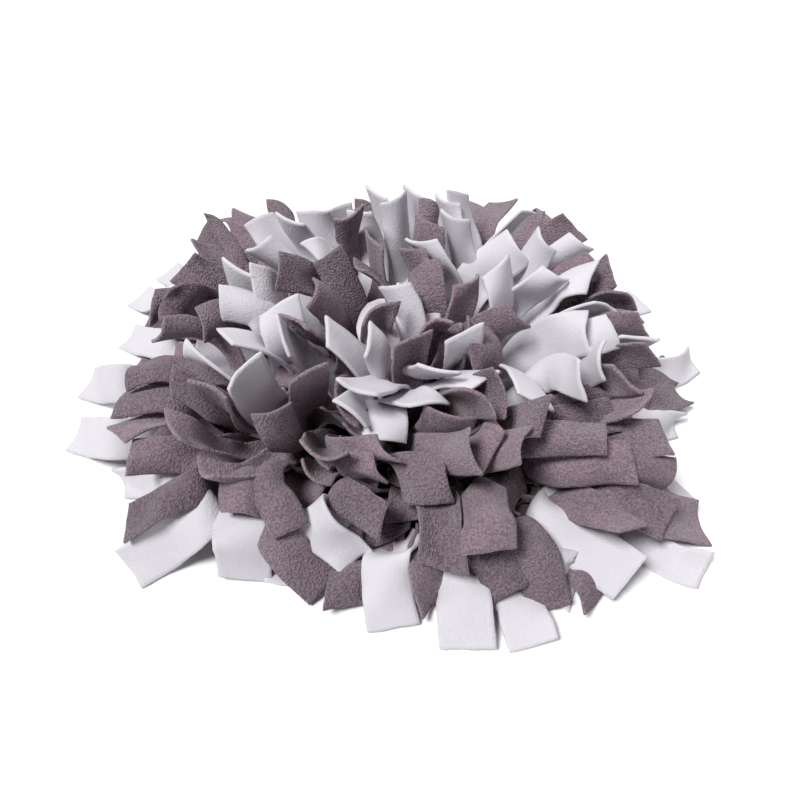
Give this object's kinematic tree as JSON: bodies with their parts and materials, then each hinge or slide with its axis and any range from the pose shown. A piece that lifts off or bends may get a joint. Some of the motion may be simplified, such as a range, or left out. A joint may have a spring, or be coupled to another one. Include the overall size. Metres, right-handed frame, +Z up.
{
  "type": "snuffle mat",
  "caption": "Soft feeding mat for a dog: rows of fleece strips stand on a felt base and bend outwards like petals, so that dry food can be hidden between them.",
  "frame": {"origin": "centre of the felt base's underside, on the surface the mat lies on", "axes": "+Z up through the strips, +X to the right along the base's longer side, -Y towards the front"},
  "size_m": [0.3976, 0.3363, 0.0939],
  "materials": {
    "fleece_white": "brushed polar fleece, soft and matt",
    "fleece_grey": "brushed polar fleece with a pebbled nap, matt",
    "felt": "plain pressed felt"
  },
  "bodies": {
    "root": {"base": "felt", "flower_1": "fleece_white", "flower_2": "fleece_white", "flower_3": "fleece_white", "fringe": "fleece_white", "rim_1": "fleece_grey", "rim_2": "fleece_grey", "rim_3": "fleece_grey", "rim_4": "fleece_grey", "ring_1": "fleece_grey", "ring_2": "fleece_grey", "ring_3": "fleece_grey", "ring_4": "fleece_white", "ring_4_front": "fleece_grey", "ring_5": "fleece_white", "ring_5_front": "fleece_grey", "ring_6": "fleece_white", "ring_6_front": "fleece_grey", "ring_7": "fleece_white", "ring_7_front": "fleece_grey"}
  },
  "joints": []
}
